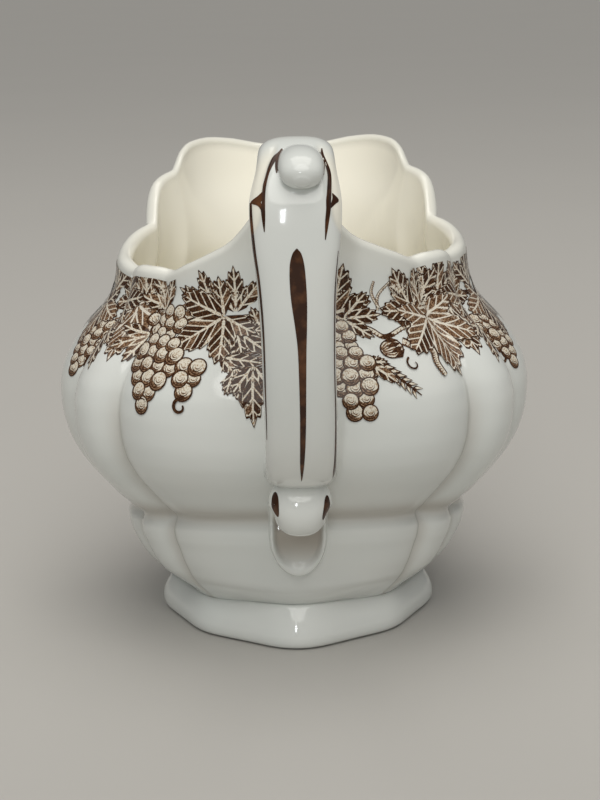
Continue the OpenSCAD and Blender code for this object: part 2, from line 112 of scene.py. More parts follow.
# x, y from the body axis, z, half width, half thickness
STRAP = np.array([
    [0.8, -38.6, 92.6, 6.6, 4.4],
    [0.9, -43.5, 98.0, 6.5, 4.1],
    [1.1, -50.0, 103.0, 6.5, 3.9],
    [1.2, -57.5, 105.58, 6.9, 3.8],
    [1.2, -64.0, 103.5, 7.3, 3.8],
    [1.0, -67.8, 98.4, 8.3, 3.7],
    [1.0, -69.2, 91.5, 8.0, 3.6],
    [1.0, -69.5, 84.0, 7.2, 3.6],
    [1.1, -69.0, 75.0, 6.8, 3.6],
    [1.2, -67.4, 66.5, 6.75, 3.6],
    [1.3, -64.9, 59.0, 6.75, 3.6],
    [1.3, -61.6, 52.4, 6.75, 3.6],
    [1.2, -57.2, 47.4, 6.7, 3.55],
    [1.1, -52.0, 44.8, 6.5, 3.5],
    [1.0, -46.6, 43.9, 6.3, 3.5]])
THUMB = np.array([
    [1.2, -48.0, 102.6, 1.6, 0.6],
    [1.4, -53.5, 105.4, 3.0, 1.2],
    [1.7, -59.5, 106.3, 3.8, 1.9],
    [2.0, -65.0, 105.9, 4.0, 2.6],
    [2.1, -69.3, 104.9, 4.1, 2.9],
    [2.2, -72.2, 103.6, 3.5, 2.5],
    [2.2, -73.5, 102.8, 1.3, 1.0]])
SCROLL_AT = np.array([0.9, -50.6, 37.3])
SCROLL_R, SCROLL_HALF = 6.0, 6.2
SCROLL_FULL = 0.82   # how full the scroll's ends are, 1 = an ellipse
SCROLL_TAPER = 0.16  # how much shorter its underside is
JOINT_FLARE = 0.9


def smooth_step(t):
    u = np.clip(t, 0, 1)
    return u * u * (3 - 2 * u)


def bell(t):
    return np.exp(-np.square(t))


def sin_deg(a):
    return np.sin(np.radians(a))


def cos_deg(a):
    return np.cos(np.radians(a))


def curve(t, table, column):
    """Smooth curve through a table's knots that never overshoots them."""
    x, y = table[:, 0], table[:, column]
    h = np.diff(x)
    d = np.diff(y) / h
    turn = d[:-1] * d[1:]
    total = np.where(turn > 0, d[:-1] + d[1:], 1)
    slope = np.concatenate([d[:1], np.where(turn > 0, 2 * turn / total, 0), d[-1:]])
    t = np.asarray(t, float)
    i = np.clip(np.searchsorted(x, t, side="right") - 1, 0, len(h) - 1)
    u = np.clip((t - x[i]) / h[i], 0, 1)
    return (y[i] * (2 * u**3 - 3 * u**2 + 1) + y[i + 1] * (3 * u**2 - 2 * u**3)
            + h[i] * slope[i] * (u**3 - 2 * u**2 + u) + h[i] * slope[i + 1] * (u**3 - u**2))


def along(points, t):
    """Points at t along a list of points (Catmull-Rom)."""
    n = len(points)
    run = np.vstack([2 * points[0] - points[1], points, 2 * points[-1] - points[-2]])
    t = np.clip(np.asarray(t, float), 0, n - 1)
    i = np.clip(np.floor(t).astype(int), 0, n - 2)
    u = (t - i)[..., None]
    a, b, c, d = run[i], run[i + 1], run[i + 2], run[i + 3]
    return 0.5 * (2 * b + (c - a) * u + (2 * a - 5 * b + 4 * c - d) * u**2
                  + (3 * b - a - 3 * c + d) * u**3)


def from_handle(a):
    """Angle a counted from the handle, 0 to 180 on either side."""
    return np.abs((np.asarray(a) + 180) % 360 - 180)


def foot_r(a):
    """The foot's outline: a point behind, in front and at each side, and a swell between them."""
    q = from_handle(a)
    return (FOOT_RADIUS + FOOT_POINT * (bell(q / 18) + bell((q - 98) / 18) + bell((180 - q) / 20))
            + FOOT_SWELL * (bell((q - 48) / 12) + bell((q - 137) / 11)))


def ends(a):
    """1 behind and in front, 0 at the sides."""
    spread = 34
    q = from_handle(a)
    return bell(q / spread) + bell((180 - q) / spread)


def lobe_edges(z):
    """Angles of the nine edges of the eight lobes, at heights z: shape (9,) + z.shape."""
    m = smooth_step((np.asarray(z, float) - 58) / 24)
    a = [low * (1 - m) + top * m for low, top in zip(CREASE_LOW, CREASE_TOP)]
    return np.stack([-a[0], a[0], a[1], a[2], a[3], 360 - a[3], 360 - a[2], 360 - a[1], 360 - a[0]])


def crease(j, s):
    """0 in the middle of lobe j, 1 in the crease beside it."""
    b, w = np.sin(np.pi * s), SOFT[j]
    return np.clip(1 - (np.sqrt(b * b + w * w) - w) / (np.sqrt(1 + w * w) - w), 0, 1)**ROLL[j]


def lobe_angle(j, s, z):
    """The angle that is s of the way across lobe j at height z."""
    edges = lobe_edges(z)
    low = np.take_along_axis(edges, np.broadcast_to(j, edges.shape[1:])[None], 0)[0]
    high = np.take_along_axis(edges, np.broadcast_to(j + 1, edges.shape[1:])[None], 0)[0]
    return low + s * (high - low)


def lobe_place(a, z):
    """The lobe that angle a is in at height z, and how far across it."""
    edges = lobe_edges(z)
    b = np.where(a < edges[0], a + 360, a)
    j = np.clip(np.sum(edges[:-1] <= b, axis=0) - 1, 0, 7)
    low = np.take_along_axis(edges, j[None], 0)[0]
    high = np.take_along_axis(edges, j[None] + 1, 0)[0]
    return j, (b - low) / (high - low)


def waist_shift(a, z):
    """The waist stands higher under the handle and the spout than at the sides."""
    return WAIST_RISE * cos_deg(a)**2 * smooth_step((z - 9) / 13) * (1 - smooth_step((z - 32) / 18))


def plain_r(a, z):
    """Radius of the body without its lobes, spout and foot."""
    h = z - waist_shift(a, z)
    c = cos_deg(a)
    w, n = curve(h, PROFILE, 1), curve(h, PROFILE, 4)
    d = np.where(c >= 0, curve(h, PROFILE, 2), curve(h, PROFILE, 3))
    return ((np.abs(sin_deg(a)) / w)**n + (np.abs(c) / d)**n)**(-1 / n)


def from_crease(j, s):
    """Distance along the body from the nearer crease, about, mm."""
    return np.minimum(s, 1 - s) * LOBE_WIDTH[j] * 0.8


def body_r(j, s, z, flute=1.0):
    """Radius of the outside of the body, s of the way across lobe j, flute of its full fluting."""
    z = np.asarray(z, float)
    a = lobe_angle(j, s, z)
    from_spout = 180 - from_handle(a)
    r = (plain_r(a, z) + SPOUT_REACH * curve(z, PROFILE, 6) * bell(from_spout / SPOUT_SPREAD)
         - flute * curve(z, PROFILE, 5) * crease(j, s))
    r = r - GROOVE_DEPTH * flute * bell(from_crease(j, s) / GROOVE_WIDTH) * smooth_step((74 - z) / 10)
    m = smooth_step((z - FOOT_HEIGHT) / 7)
    cove = foot_r(a) - FOOT_COLLAR - COVE_IN * ends(a) + 0.75 * (z - FOOT_HEIGHT)
    return m * r + (1 - m) * cove


def at(r, a, z):
    """Cylindrical to row coordinates, millimetres."""
    r, a, z = np.broadcast_arrays(r, a, z)
    return np.stack([r * sin_deg(a), Y_SHIFT - r * cos_deg(a), z], -1)


def lip_z(a):
    """Height of the lip, a little higher on the right."""
    a = (np.asarray(a) + 180) % 360 - 180
    return curve(np.abs(a), LIP, 1) + LIP_TILT * sin_deg(a) * (1 + cos_deg(a)) / 2


def body_point(a, z):
    """A point of the outside of the body."""
    a, z = np.broadcast_arrays(np.asarray(a, float), np.asarray(z, float))
    return at(body_r(*lobe_place(a, z), z), a, z)


def on_body(a, z, lift):
    """A point that stands lift off the outside of the body."""
    p = body_point(a, z)
    step = 0.05
    across = body_point(a + step, z) - body_point(a - step, z)
    up = body_point(a, z + step) - body_point(a, z - step)
    n = np.cross(across, up)
    n /= np.linalg.norm(n, axis=-1, keepdims=True)
    return p + n * np.asarray(lift)[..., None]


def lay(p):
    """Moves points along Y onto the rear of the body."""
    x, z = p[..., 0], p[..., 2]
    first_guess = 40
    a = np.degrees(np.arcsin(x / first_guess))
    for _ in range(3):
        r = body_r(*lobe_place(a, z), z)
        a = np.degrees(np.arcsin(np.clip(x / r, -1, 1)))
    return np.stack([x, Y_SHIFT - r * cos_deg(a), z], -1)


def strap_frame(path, t):
    """Centre, half sizes and direction of travel (in Y, Z) at t along a strap."""
    q = along(path, t)
    d = along(path, np.asarray(t) + 0.02) - along(path, np.asarray(t) - 0.02)
    d = d[..., 1:3] / np.linalg.norm(d[..., 1:3], axis=-1, keepdims=True)
    return q, d


def strap_point(path, t, x, h):
    """A point at x across a strap and h out of its outer side."""
    q, d = strap_frame(path, t)
    y = Y_SHIFT + q[..., 1] + h * d[..., 1]
    z = q[..., 2] - h * d[..., 0]
    return np.stack([q[..., 0] + x, y, z], -1)


def strap_ring(path, t, around, square, grow=0.0):
    """A point round the rounded-box section of a strap, at an angle from +X to its outer side."""
    q = along(path, t)
    c, s = cos_deg(around), sin_deg(around)
    m = (np.abs(c)**square + np.abs(s)**square)**(-1 / square)
    return strap_point(path, t, (q[..., 3] + grow) * m * c, (q[..., 4] + grow) * m * s)


# t along the strap, half width of the raised tongue that ends under the thumb scroll
TONGUE = np.array([[0.0, 3.0], [3.0, 3.2], [3.8, 3.9], [4.0, 4.7], [4.4, 5.5], [4.8, 5.9], [5.1, 6.0],
                   [5.4, 6.4], [5.9, 8.4], [6.4, 12.0]])
TONGUE_X, TONGUE_RISE = 0.2, 0.9
TONGUE_EDGE = 0.9    # width of the slope beside it
STRAP_SQUARE = 2.8   # squareness of the strap's section, 2 = an ellipse
THUMB_SQUARE = 2.1


def tongue_drop(t, x, out):
    """How far the strap's outer side sinks beside the tongue, at out of its half thickness."""
    past = np.abs(x - TONGUE_X) - curve(t, TONGUE, 1)
    begun = smooth_step((t - 3.3) / 0.8)
    return TONGUE_RISE * smooth_step(past / TONGUE_EDGE + 0.5) * begun * smooth_step(out / 0.5)


def strap_face(t, x, lift):
    """A point of the handle's outer face at x across it."""
    q = along(STRAP, t)
    edge = q[..., 3] * 0.995
    x = np.clip(x, -edge, edge)
    k = np.clip(1 - (np.abs(x) / q[..., 3])**STRAP_SQUARE, 0.0001, 1)**(1 / STRAP_SQUARE)
    drop = tongue_drop(t, x, k)
    return strap_point(STRAP, t, x, q[..., 4] * k - drop + lift + 0.02)


# ---------------------------------------------------------------- meshes

def grid_faces(rows, cols, closed):
    """Quads of a grid of points. Seen from outside, columns run right and rows run up."""
    i, j = np.meshgrid(np.arange(rows - 1), np.arange(cols if closed else cols - 1), indexing="ij")
    k = (j + 1) % cols
    quads = np.stack([i * cols + j, i * cols + k, (i + 1) * cols + k, (i + 1) * cols + j], -1)
    return quads.reshape(-1, 4)


def put(name, data):
    """A new object in the scene."""
    thing = bpy.data.objects.new(name, data)
    bpy.context.scene.collection.objects.link(thing)
    return thing


def make_piece(name, points, faces, materials, slots=None, node=None):
    """A smooth mesh from millimetre points, riding on the root and standing for a CAD node."""
    mesh = bpy.data.meshes.new(name)
    mesh.from_pydata((np.asarray(points) * MM).tolist(), [], [list(map(int, f)) for f in faces])
    mesh.polygons.foreach_set("use_smooth", [True] * len(mesh.polygons))
    for m in materials:
        mesh.materials.append(m)
    if slots is not None:
        mesh.polygons.foreach_set("material_index", np.asarray(slots, int).tolist())
    mesh.update()
    piece = put(name, mesh)
    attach(piece, "root")
    if node:
        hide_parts(node)
    return piece


def paint(piece, name, values):
    """Gives each point of a mesh a number that its material reads."""
    attribute = piece.data.attributes.new(name, "FLOAT", "POINT")
    attribute.data.foreach_set("value", np.asarray(values, float).tolist())


def outward(points, faces):
    """The faces of a closed mesh, turned round if they look inwards."""
    volume = 0.0
    for f in faces:
        for k in range(1, len(f) - 1):
            a, b, c = points[f[0]], points[f[k]], points[f[k + 1]]
            volume += a @ np.cross(b, c)
    return [f[::-1] for f in faces] if volume < 0 else faces


def away_from(middle, faces, a, b, c):
    """Faces turned round if those with corners a, b, c in order look towards middle."""
    return faces[:, ::-1] if np.dot(np.cross(b - a, c - a), a - middle) < 0 else faces


def closed_grid(grid, low, high):
    """Points and faces of a tube of rings, each end closed by a fan to a point."""
    rows, cols = grid.shape[:2]
    points = np.vstack([grid.reshape(-1, 3), low, high])
    top = (rows - 1) * cols
    faces = grid_faces(rows, cols, True).tolist()
    faces += [[rows * cols, (j + 1) % cols, j] for j in range(cols)]
    faces += [[rows * cols + 1, top + j, top + (j + 1) % cols] for j in range(cols)]
    return points, outward(points, faces)


# ---------------------------------------------------------------- materials

def node_material(name):
    """A new material, its node tree and its shader."""
    mat = bpy.data.materials.new(name)
    mat.use_nodes = True
    tree = mat.node_tree
    shader = next(n for n in tree.nodes if n.type == "BSDF_PRINCIPLED")
    return mat, tree, shader


def add(tree, kind, **inputs):
    """A node with its input sockets set by name."""
    node = tree.nodes.new(kind)
    for key, value in inputs.items():
        node.inputs[key].default_value = value
    return node


def mix(tree, factor, a, b):
    """A colour mix. Each of the three is a value or a socket. Inputs 6 and 7 take its colours."""
    node = tree.nodes.new("ShaderNodeMix")
    node.data_type = "RGBA"
    for socket, value in ((node.inputs[0], factor), (node.inputs[6], a), (node.inputs[7], b)):
        if hasattr(value, "is_output"):
            tree.links.new(value, socket)
        else:
            socket.default_value = value
    return node.outputs[2]


def ramp(tree, source, low, high, to_low=0.0, to_high=1.0):
    """source mapped from low..high to to_low..to_high."""
    node = add(tree, "ShaderNodeMapRange",
               **{"From Min": low, "From Max": high, "To Min": to_low, "To Max": to_high})
    tree.links.new(source, node.inputs["Value"])
    return node.outputs["Result"]


def noise(tree, scale, detail=2.0):
    """Noise that is fixed to the object, scale to the metre."""
    coords = tree.nodes.new("ShaderNodeTexCoord")
    node = add(tree, "ShaderNodeTexNoise", Scale=scale, Detail=detail)
    tree.links.new(coords.outputs["Object"], node.inputs["Vector"])
    return node.outputs["Fac"]


def painted_number(tree, name):
    """The number that paint() gave each point of the mesh."""
    node = tree.nodes.new("ShaderNodeAttribute")
    node.attribute_name = name
    return node.outputs["Fac"]


def finish_glaze(tree, shader, bump=0.05, ior=1.52):
    """The clear glossy glaze over everything: even gloss, faint ripples."""
    shader.inputs["IOR"].default_value = ior
    tree.links.new(ramp(tree, noise(tree, 90), 0.0, 1.0, 0.05, 0.13), shader.inputs["Roughness"])
    ripple = add(tree, "ShaderNodeBump", Strength=bump, Distance=0.0006)
    tree.links.new(noise(tree, 150, 1.0), ripple.inputs["Height"])
    tree.links.new(ripple.outputs["Normal"], shader.inputs["Normal"])


# painted shade: a brown mixed into the glaze in the waist, along the creases and in the hollow under the
# lower scroll
PAINTED_SHADE_COLOUR = (0.30, 0.245, 0.185, 1)
SPECK_COLOUR = (0.25, 0.18, 0.12, 1)
INK_BUMP, INK_IOR = 0.03, 1.32


def glaze_material():
    """White glaze with a few pin specks, painted a lighter cream where light falls and painted darker where
    shade falls, as the mesh's numbers say.
    """
    mat, tree, shader = node_material("white_glaze")
    clouds = ramp(tree, noise(tree, 35), 0.35, 0.65)
    cool = mix(tree, clouds, (0.73, 0.755, 0.725, 1), (0.77, 0.785, 0.75, 1))
    clouds = ramp(tree, noise(tree, 25), 0.35, 0.65)
    lit_cream = mix(tree, clouds, (0.93, 0.895, 0.77, 1), (0.95, 0.92, 0.81, 1))
    # painted light: a lighter cream where light from above falls, over the lip, inside and on the handle's
    # top
    colour = mix(tree, painted_number(tree, "painted_light"), cool, lit_cream)
    # painted shade: darkened towards brown where the mesh's shade number says so
    colour = mix(tree, painted_number(tree, "painted_shade"), colour, PAINTED_SHADE_COLOUR)
    specks = add(tree, "ShaderNodeTexVoronoi", Scale=170.0)
    coords = tree.nodes.new("ShaderNodeTexCoord")
    tree.links.new(coords.outputs["Object"], specks.inputs["Vector"])
    rare = ramp(tree, noise(tree, 60, 0.0), 0.70, 0.73)
    spot = ramp(tree, specks.outputs["Distance"], 0.065, 0.03)
    both = tree.nodes.new("ShaderNodeMath")
    both.operation = "MULTIPLY"
    tree.links.new(rare, both.inputs[0])
    tree.links.new(spot, both.inputs[1])
    speckled = mix(tree, both.outputs[0], colour, SPECK_COLOUR)
    tree.links.new(speckled, shader.inputs["Base Color"])
    finish_glaze(tree, shader)
    return mat


def ink_material(name, dark, light, low, high, scale):
    """Engraved ink: a fine stipple between two browns under the glaze."""
    mat, tree, shader = node_material(name)
    stipple = ramp(tree, noise(tree, scale, 3.0), low, high)
    tree.links.new(mix(tree, stipple, dark, light), shader.inputs["Base Color"])
    finish_glaze(tree, shader, INK_BUMP, INK_IOR)
    return mat


GLAZE = glaze_material()
INK = ink_material("print_ink", (0.036, 0.014, 0.006, 1), (0.15, 0.07, 0.03, 1), 0.45, 0.78, 2600)
MID = ink_material("print_half_tone", (0.085, 0.038, 0.018, 1), (0.38, 0.24, 0.14, 1), 0.44, 0.66, 3000)
TAN = ink_material("print_wash", (0.42, 0.28, 0.16, 1), (0.76, 0.71, 0.60, 1), 0.34, 0.50, 3000)
PALE = ink_material("print_highlight", (0.55, 0.42, 0.29, 1), (0.78, 0.73, 0.63, 1), 0.28, 0.46, 2400)
BRUSH = ink_material("brushed_brown", (0.040, 0.016, 0.008, 1), (0.15, 0.062, 0.026, 1), 0.45, 0.80, 380)
PRINT = [INK, MID, TAN, PALE]


# ---------------------------------------------------------------- body

# how dark the painted shade is at the waist and along the creases, and how far it spreads, mm
WAIST_PAINTED_SHADE, WAIST_SPREAD = 0.52, 2.3
CREASE_PAINTED_SHADE, CREASE_SPREAD = 0.34, 1.9
LIP_PAINTED_LIGHT, INSIDE_PAINTED_LIGHT = 0.25, 1.0  # painted light: the glaze is painted a lighter cream over the lip and inside, where warm light falls
INNER_FLUTE = 0.8                  # the inside is less fluted than the outside
FLOOR_TOP, FLOOR_Z = 30.5, 12.0
# step, height, inset from the outside, flute, from the lower wall to the floor inside
FLOOR = np.array([[0, FLOOR_TOP, 3.8, 0.65], [1, 26, 4.6, 0.55], [2, 21.5, 5.8, 0.5],
                  [3, 17.6, 8.2, 0.5], [4, 14.8, 11.6, 0.4], [5, 13.0, 16.0, 0.3],
                  [6, 12.2, 21.0, 0.2], [7, FLOOR_Z, 27.5, 0.0]])


def body_mesh():
    """Rows of points up the outside, over the round lip, down the inside and in over the floor."""
    per_lobe = [44, 20, 30, 20, 44, 20, 30, 20]
    j = np.concatenate([np.full(n, k) for k, n in enumerate(per_lobe)])
    s = np.concatenate([(1 - np.cos(np.pi * np.arange(n) / n)) / 2 for n in per_lobe])
    rows, painted_light, painted_shade = [], [], []

    def row(z, inset=0.0, flute=1.0, light_share=0.0, shade_share=0.0):
        z = np.broadcast_to(z, j.shape).astype(float)
        a = lobe_angle(j, s, z)
        rows.append(at(body_r(j, s, z, flute) - inset, a, z))
        painted_light.append(np.full(j.shape, light_share))
        # painted shade: darker just above the waist and along the creases of the outside
        waist = WAIST_PAINTED_SHADE * bell((z - waist_shift(a, z) - WAIST_Z) / WAIST_SPREAD)
        creases = CREASE_PAINTED_SHADE * bell(from_crease(j, s) / CREASE_SPREAD) * smooth_step((64 - z) / 16)
        painted_shade.append(shade_share * np.maximum(waist, creases))

    top = lip_z(lobe_angle(j, s, np.full(j.shape, 90.0))) - WALL / 2
    for low, high, count in ((FOOT_HEIGHT, 19, 22), (19, 35, 44), (35, NECK_Z, 50)):
        for z in np.linspace(low, high, count, endpoint=high == NECK_Z):
            row(z, shade_share=1.0)
    upper = 16
    for k in range(1, upper):
        row(NECK_Z + (top - NECK_Z) * k / upper, light_share=LIP_PAINTED_LIGHT * smooth_step(k / upper))
    turns = 14
    r = body_r(j, s, top)
    r_inner = body_r(j, s, top, INNER_FLUTE)
    for k in range(turns + 1):
        t = 180 * k / turns
        blend = k / turns
        mid = (r * (1 - blend) + r_inner * blend) - WALL / 2
        rows.append(at(mid + WALL / 2 * cos_deg(t), lobe_angle(j, s, top), top + WALL / 2 * sin_deg(t)))
        # painted light: a lighter cream round the lip's turn
        painted_light.append(np.full(j.shape, LIP_PAINTED_LIGHT + 0.65 * blend))
        painted_shade.append(np.zeros(j.shape))
    for k in range(1, upper):
        row(top + (NECK_Z - top) * k / upper, WALL, INNER_FLUTE, INSIDE_PAINTED_LIGHT)
    for z in np.linspace(NECK_Z, FLOOR_TOP, 56):
        inset = WALL + 0.4 * smooth_step((NECK_Z - z) / 6)
        flute = INNER_FLUTE - 0.15 * smooth_step((NECK_Z - z) / 20)
        row(z, inset, flute, INSIDE_PAINTED_LIGHT)
    for t in np.linspace(0.15, 6.9, 44):
        z, inset, flute = (curve(t, FLOOR, c) for c in (1, 2, 3))
        row(z, inset, flute, INSIDE_PAINTED_LIGHT)
    points, faces = closed_grid(np.array(rows), [0, Y_SHIFT, FOOT_HEIGHT], [0, Y_SHIFT, FLOOR_Z])
    body = make_piece("jug_body", points, faces, [GLAZE], node="body")
    # painted light and painted shade, as numbers that the glaze reads
    paint(body, "painted_light", [*np.array(painted_light).ravel(), 0.0, 1.0])
    paint(body, "painted_shade", [*np.array(painted_shade).ravel(), 0.0, 0.0])


body_mesh()


# ---------------------------------------------------------------- foot

# inset from the outline, height: up the outside, across the top and down the hollow side
FOOT = np.array([
    [1.7, 0], [1.1, 0.08], [0.6, 0.35], [0.25, 0.8], [0.05, 1.5], [0, 2.4], [0.1, 3.1], [0.35, 4.0],
    [0.8, 5.0], [1.4, 6.0], [1.95, 6.9], [2.3, 7.6], [6.4, 7.6], [6.2, 6.4], [6.0, 5.5],
    [5.6, 3.8], [5.2, 2.2], [4.9, 0.9], [4.6, 0]])
FOOT_WIDEST_Z = 2.4
SHOULDER_IN = 0.5   # how far the foot's shoulder is drawn in where it is raised
OUTSIDE_INSET = 3   # smaller insets are on the foot's outside


def foot_mesh():
    a = np.arange(0, 360, 1.5)
    grid = []
    for inset, z in FOOT:
        up = smooth_step((z - FOOT_WIDEST_Z) / (FOOT_HEIGHT - FOOT_WIDEST_Z))
        shoulder = ends(a) * up * (inset < OUTSIDE_INSET)
        grid.append(at(foot_r(a) - inset - SHOULDER_IN * shoulder, a, z + COVE_UP * shoulder))
    grid = np.array(grid)
    rows, cols = grid.shape[:2]
    faces = grid_faces(rows, cols, True).tolist()
    last = (rows - 1) * cols
    faces += [[last + c, last + (c + 1) % cols, (c + 1) % cols, c] for c in range(cols)]
    foot = make_piece("jug_foot", grid.reshape(-1, 3), faces, [GLAZE], node="foot_ring")
    sub = foot.modifiers.new("round", "SUBSURF")
    sub.levels = sub.render_levels = 1


foot_mesh()


# ---------------------------------------------------------------- handle

SADDLE_END = 1.4              # t where the handle clears the lip
SADDLE_R, SADDLE_SINK = 39, 0.6  # radius of the lip there, and how far below its top the handle sinks


def saddle(ring, t):
    """Draws the upper end of the handle down into the lip, which falls away on both sides."""
    a = np.degrees(np.arcsin(np.clip(ring[:, 0] / SADDLE_R, -1, 1)))
    over = np.maximum(ring[:, 2] - (lip_z(a) - SADDLE_SINK), 0)
    return ring - np.outer(over * (1 - smooth_step(t / SADDLE_END)), [0, 0, 1])


def strap_mesh(name, node, path, per, square, bow=False):
    """A strap along path, per rings to each of its points. The bow has a tongue and meets the body."""
    last = len(path) - 1
    around = -np.arange(0, 360, 360 / 108 if bow else 6.0)
    c, s = cos_deg(around), sin_deg(around)
    out = s * (np.abs(c)**square + np.abs(s)**square)**(-1 / square)
    rings, painted_light = [], []
    for t in np.linspace(0, last, last * per + 1):
        grow = JOINT_FLARE * (np.exp(-t / 0.5) + np.exp(-(last - t) / 0.5)) if bow else 0.0
        ring = strap_ring(path, np.full(around.shape, t), around, square, grow)
        if bow:
            q, d = strap_frame(path, t)
            drop = tongue_drop(t, ring[:, 0] - q[0], out)
            ring = saddle(ring - drop[:, None] * np.array([0.0, d[1], -d[0]]), t)
            # painted light: the handle's upper end and the sunk sides beside its tongue are painted a
            # lighter cream, where light from above falls
            painted_light.append(np.clip(drop / TONGUE_RISE, 0, 1) * 0.9 + 0.6 * smooth_step((3.4 - t) / 0.8))
        rings.append(ring)
    if bow:
        rings[0] = lay(rings[0]) + np.array([0, WALL / 2, 0])
        rings[-1] = lay(rings[-1])
    grid = np.array(rings)[:, ::-1]
    points, faces = closed_grid(grid, grid[0].mean(0), grid[-1].mean(0))
    piece = make_piece(name, points, faces, [GLAZE], node=node)
    if bow:
        paint(piece, "painted_light", [*np.array(painted_light)[:, ::-1].ravel(), 0.5, 0.0])


strap_mesh("handle_strap_glazed", "handle_strap", STRAP, 16, STRAP_SQUARE, bow=True)
strap_mesh("thumb_scroll_glazed", "thumb_scroll", THUMB, 12, THUMB_SQUARE)


def scroll_point(lon, lat, lift):
    """A point of the lower scroll: lon from its front round to an end, lat up from the front."""
    lon, lat = np.broadcast_arrays(np.asarray(lon, float), np.asarray(lat, float))
    narrow = 1 - SCROLL_TAPER * smooth_step(0.35 - sin_deg(lat))
    end = np.sign(lon) * np.abs(sin_deg(lon))**SCROLL_FULL * narrow
    q = (SCROLL_R + lift) * np.abs(cos_deg(lon))**SCROLL_FULL
    return np.stack([SCROLL_AT[0] + (SCROLL_HALF + lift) * end,
                     Y_SHIFT + SCROLL_AT[1] - q * cos_deg(lat),
                     SCROLL_AT[2] + q * sin_deg(lat)], -1)


def lower_scroll_mesh():
    lat, lon = np.arange(0, 360, 6.0), np.linspace(-89, 89, 75)
    grid = scroll_point(lon[:, None], lat[None, :], 0.0)
    points, faces = closed_grid(grid, scroll_point(-90, 0, 0.0), scroll_point(90, 0, 0.0))
    make_piece("lower_scroll_glazed", points, faces, [GLAZE], node="lower_scroll")


lower_scroll_mesh()


ROOT_X, ROOT_HALF = 0.35, 6.05       # its middle and half width
ROOT_LOW, ROOT_HIGH = 16.8, 35.0
ROOT_ROUND_Z, ROOT_ROUND = 27.0, 10.25  # where its lower end begins to round off, and how far down it goes
ROOT_LIP, ROOT_DISH = 1.9, 0.25      # how far its lip and the bottom of its dish stand off the body
ROOT_UNDER_SCROLL = 5.8              # how far the dish comes out to meet the lower scroll
ROOT_SUNK = 0.3                      # how far its back lies inside the body


def root_mesh():
    """The tongue under the lower scroll: a dish with a raised lip, its skirt running out on the body."""
    z = np.concatenate([ROOT_LOW + np.linspace(0, 1, 20)**1.6 * 3.0,
                        np.linspace(ROOT_LOW + 3.3, ROOT_HIGH, 46)])
    u = np.sin(np.linspace(-np.pi / 2, np.pi / 2, 61))
    down = np.clip(ROOT_ROUND_Z - z, 0, None) / ROOT_ROUND
    half = ROOT_HALF * np.sqrt(np.clip(1 - down**2.0, 0.0004, 1))
    x = u[None, :] * half[:, None] + ROOT_X
    zz = np.broadcast_to(z[:, None], x.shape)
    ground = lay(np.stack([x, 0 * x, zz], -1))
    radial = np.sqrt((x - ROOT_X)**2 / ROOT_HALF**2 + down[:, None]**2)
    from_edge = np.clip(1 - radial, 0, 1) * ROOT_HALF
    low_end = smooth_step((22 - zz) / 5)
    lip = ROOT_LIP + 0.2 * low_end
    dish = ROOT_DISH + ROOT_UNDER_SCROLL * smooth_step((zz - 29.5) / 8)
    inside = smooth_step((from_edge - 0.75) / (1.1 + 2.2 * low_end))
    lift = smooth_step(from_edge / 0.62) * (lip * (1 - inside) + dish * inside) - 0.04
    outer = ground - np.stack([0 * lift, lift, 0 * lift], -1)
    inner = ground + np.array([0, ROOT_SUNK, 0])
    rows, cols = x.shape
    points = np.concatenate([outer.reshape(-1, 3), inner.reshape(-1, 3)])
    faces = grid_faces(rows, cols, False).tolist()
    faces += (grid_faces(rows, cols, False)[:, ::-1] + rows * cols).tolist()
    edge = ([*range(cols)] + [r * cols + cols - 1 for r in range(1, rows)]
            + [(rows - 1) * cols + c for c in range(cols - 2, -1, -1)]
            + [r * cols for r in range(rows - 2, 0, -1)])
    for a, b in zip(edge, edge[1:] + edge[:1]):
        faces.append([b, a, a + rows * cols, b + rows * cols])
    root = make_piece("handle_root_glazed", points, outward(points, faces), [GLAZE], node="handle_root")
    # painted shade: the tongue's dish is darkened, most up under the lower scroll
    hollow = inside * (0.16 + 0.56 * smooth_step((zz - 19) / 7))
    paint(root, "painted_shade", [*hollow.ravel(), *np.zeros(x.size)])


root_mesh()


# ---------------------------------------------------------------- printed garland

# arc length up the shoulder, so that a motif keeps its shape where the surface leans in
ARC_Z = np.linspace(20, 96, 381)
ARC_R = curve(ARC_Z, PROFILE, 1)
ARC_S = np.concatenate([[0], np.cumsum(np.hypot(np.diff(ARC_Z), np.diff(ARC_R)))])
INK_LIFT = 0.022  # lowest printed layer off the glaze, mm
LAYER = 0.004     # rise of one printed layer over the one under it, mm
STEP = 0.8        # longest edge of a printed shape, mm
BELOW_LIP = 2.2   # how far the print stays below the lip, mm
DARK, HALF, WASH, LIGHT = 0, 1, 2, 3  # places in PRINT of the four inks


